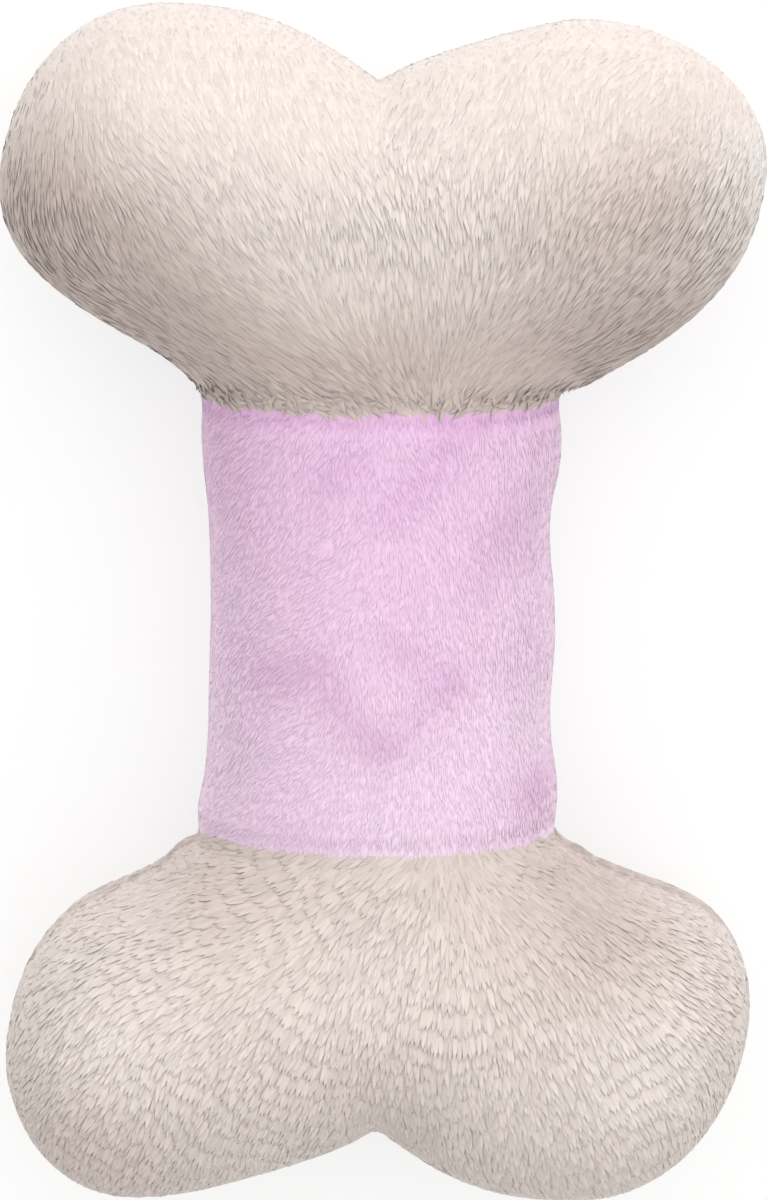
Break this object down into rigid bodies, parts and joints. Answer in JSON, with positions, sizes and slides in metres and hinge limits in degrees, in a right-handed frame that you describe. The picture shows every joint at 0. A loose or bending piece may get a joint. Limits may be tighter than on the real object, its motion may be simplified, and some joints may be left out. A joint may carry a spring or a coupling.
{
  "type": "squeaky dog toy",
  "caption": "Stuffed plush bone for a dog to chew and carry, with knobbed pale grey ends, a lilac middle and a bellows squeaker that sounds when the middle is pressed.",
  "frame": {"origin": "middle of the toy's outline, on the surface that it lies on, back down", "axes": "+X across the bone to the right as seen from the front, +Y along the bone to the head end, +Z out of the front"},
  "size_m": [0.095, 0.15, 0.0418],
  "materials": {
    "plush_grey": "brushed long-pile plush",
    "plush_lilac": "short-pile plush",
    "thread_grey": "twisted polyester thread",
    "thread_lilac": "twisted polyester thread",
    "fibre_filling": "loose white fibre",
    "squeaker_plastic": "milky soft plastic",
    "reed_plastic": "moulded white plastic",
    "reed_film": "thin amber film"
  },
  "bodies": {
    "shaft": {"back_middle_panel": "plush_lilac", "shaft_filling": "fibre_filling", "head_neck_filling": "fibre_filling", "foot_neck_filling": "fibre_filling", "squeaker_base": "squeaker_plastic", "squeaker_bellows": "squeaker_plastic", "reed_sleeve": "reed_plastic", "reed_bed": "reed_plastic", "left_side_thread": "thread_lilac", "right_closing_thread": "thread_lilac", "front_upper_cross_thread": "thread_lilac", "back_upper_cross_thread": "thread_lilac", "front_lower_cross_thread": "thread_lilac", "back_lower_cross_thread": "thread_lilac"},
    "press_pad": {"front_middle_panel": "plush_lilac", "front_pad_filling": "fibre_filling", "squeaker_crown": "squeaker_plastic"},
    "head_end": {"front_head_panel": "plush_grey", "back_head_panel": "plush_grey", "head_left_knob_filling": "fibre_filling", "head_right_knob_filling": "fibre_filling", "head_edge_thread": "thread_grey"},
    "foot_end": {"front_foot_panel": "plush_grey", "back_foot_panel": "plush_grey", "foot_left_knob_filling": "fibre_filling", "foot_right_knob_filling": "fibre_filling", "foot_edge_thread": "thread_grey"},
    "reed": {"reed_tongue": "reed_film"}
  },
  "joints": [
    {"name": "squeeze", "type": "slide", "parent": "shaft", "child": "press_pad", "axis": [0, 0, -1], "range_m": [0, 0.0045], "stiffness_N_per_m": 1200, "deforming": ["front_middle_panel", "squeaker_bellows"]},
    {"name": "head_flex", "type": "hinge", "parent": "shaft", "child": "head_end", "pos_m": [0, 0.027, 0.02065], "axis": [0, 0, 1], "range_deg": [-20, 20], "stiffness_Nm_per_rad": 0.4, "deforming": ["back_middle_panel", "head_neck_filling", "left_side_thread", "right_closing_thread", "front_upper_cross_thread", "back_upper_cross_thread"]},
    {"name": "foot_flex", "type": "hinge", "parent": "shaft", "child": "foot_end", "pos_m": [0, -0.0278, 0.02065], "axis": [0, 0, 1], "range_deg": [-20, 20], "stiffness_Nm_per_rad": 0.4, "deforming": ["back_middle_panel", "foot_neck_filling", "left_side_thread", "right_closing_thread", "front_lower_cross_thread", "back_lower_cross_thread"]},
    {"name": "reed_flutter", "type": "hinge", "parent": "shaft", "child": "reed", "pos_m": [0, 0.00042, 0.01225], "axis": [1, 0, 0], "range_deg": [-4, 4], "stiffness_Nm_per_rad": 0.0001}
  ]
}
